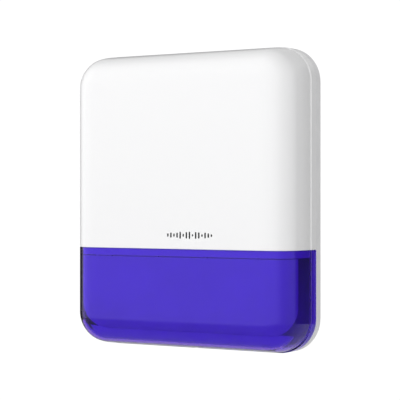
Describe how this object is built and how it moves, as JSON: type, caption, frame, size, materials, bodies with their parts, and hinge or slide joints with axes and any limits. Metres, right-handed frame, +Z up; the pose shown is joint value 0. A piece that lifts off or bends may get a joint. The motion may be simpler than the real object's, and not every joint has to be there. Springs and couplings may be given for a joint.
{
  "type": "alarm siren",
  "caption": "Wall-mounted outdoor alarm siren with a white crowned cover, a blue strobe lens along its lower third, a hinged front and a full interior.",
  "frame": {"origin": "centre of the flat back face, on the wall plane", "axes": "+Z up, +Y into the wall, so the front faces -Y, +X to the right seen from the front"},
  "size_m": [0.203, 0.049, 0.234],
  "materials": {
    "cover_white": "satin",
    "case_white": "fine texture",
    "lens_blue": "polished translucent",
    "rubber_black": "matt",
    "brass": "turned",
    "tray_grey": "fine texture",
    "cell_jacket": "printed sleeve",
    "spring_steel": "nickel plated",
    "board_green": "solder mask",
    "board_white": "solder mask",
    "tin_plate": "tin plated",
    "terminal_green": "moulded",
    "screw_steel": "zinc plated",
    "connector_white": "moulded",
    "capacitor_sleeve": "shrink sleeve",
    "coil_tape": "wound tape",
    "chip_black": "moulded",
    "led_lens": "clear domed",
    "sounder_black": "moulded",
    "ceramic_white": "fired and silvered",
    "reflector_white": "gloss",
    "diffuser_white": "opal",
    "vial_clear": "clear",
    "vial_fluid": "liquid",
    "lead_red": "insulation",
    "lead_black": "insulation",
    "button_white": "moulded",
    "button_black": "moulded"
  },
  "bodies": {
    "base": {"back_box": "case_white", "rim_seal": "rubber_black", "cable_grommet": "rubber_black", "lock_insert": "brass", "battery_tray": "tray_grey", "battery_cells": "cell_jacket", "battery_contacts": "spring_steel", "main_board": "board_green", "radio_shield": "tin_plate", "antenna": "tin_plate", "terminal_block": "terminal_green", "terminal_screws": "screw_steel", "board_connectors": "connector_white", "connector_plugs": "connector_white", "capacitors": "capacitor_sleeve", "drive_transformer": "coil_tape", "board_chips": "chip_black", "status_led": "led_lens", "cover_tamper_switch": "chip_black", "wall_tamper_switch": "chip_black", "pairing_switch": "tin_plate", "power_switch": "tin_plate", "sounder_cup": "sounder_black", "piezo_disc": "brass", "piezo_ceramic": "ceramic_white", "sounder_cap": "sounder_black", "reflector": "reflector_white", "strobe_board": "board_white", "strobe_leds": "led_lens", "level_holder": "tray_grey", "level_vial": "vial_clear", "level_fluid": "vial_fluid", "sounder_lead": "lead_red", "strobe_lead": "lead_black", "battery_lead": "lead_red", "board_screws": "screw_steel", "reflector_screws": "screw_steel", "strobe_screws": "screw_steel", "sounder_screws": "screw_steel"},
    "cover": {"upper_cover": "cover_white", "strobe_lens": "lens_blue", "light_diffuser": "diffuser_white", "lens_screws": "screw_steel"},
    "lock_washer": {"screw_washer": "screw_steel"},
    "lock_screw": {"cover_screw": "screw_steel"},
    "cover_plunger": {"cover_tamper_plunger": "button_white"},
    "wall_plunger": {"wall_tamper_plunger": "button_white"},
    "pairing_key": {"pairing_button": "button_black"},
    "power_key": {"power_slider": "button_white"},
    "lid": {"battery_lid": "tray_grey"}
  },
  "joints": [
    {"name": "cover_swing", "type": "hinge", "parent": "base", "child": "cover", "pos_m": [0, -0.0082, 0.1171], "axis": [-1, 0, 0], "range_deg": [0, 85]},
    {"name": "lock_advance", "type": "slide", "parent": "cover", "child": "lock_washer", "axis": [0, 0, 1], "range_m": [0, 0.005]},
    {"name": "lock_turn", "type": "hinge", "parent": "lock_washer", "child": "lock_screw", "pos_m": [0, -0.0129, -0.115], "axis": [0, 0, 1], "range_deg": [0, 1800]},
    {"name": "cover_tamper_travel", "type": "slide", "parent": "base", "child": "cover_plunger", "axis": [0, -1, 0], "range_m": [0, 0.0018]},
    {"name": "wall_tamper_travel", "type": "slide", "parent": "base", "child": "wall_plunger", "axis": [0, 1, 0], "range_m": [0, 0.0025], "stiffness_N_per_m": 60},
    {"name": "pairing_press", "type": "slide", "parent": "base", "child": "pairing_key", "axis": [0, 1, 0], "range_m": [0, 0.0003], "stiffness_N_per_m": 400},
    {"name": "power_slide", "type": "slide", "parent": "base", "child": "power_key", "axis": [1, 0, 0], "range_m": [0, 0.003]},
    {"name": "lid_slide", "type": "slide", "parent": "base", "child": "lid", "axis": [1, 0, 0], "range_m": [0, 0.006]}
  ],
  "couplings": [
    {"joint": "lock_turn", "follows": "lock_advance", "rad_per_m": 6283.2},
    {"joint": "cover_tamper_travel", "follows": "cover_swing", "m_per_rad": 0.0012}
  ]
}
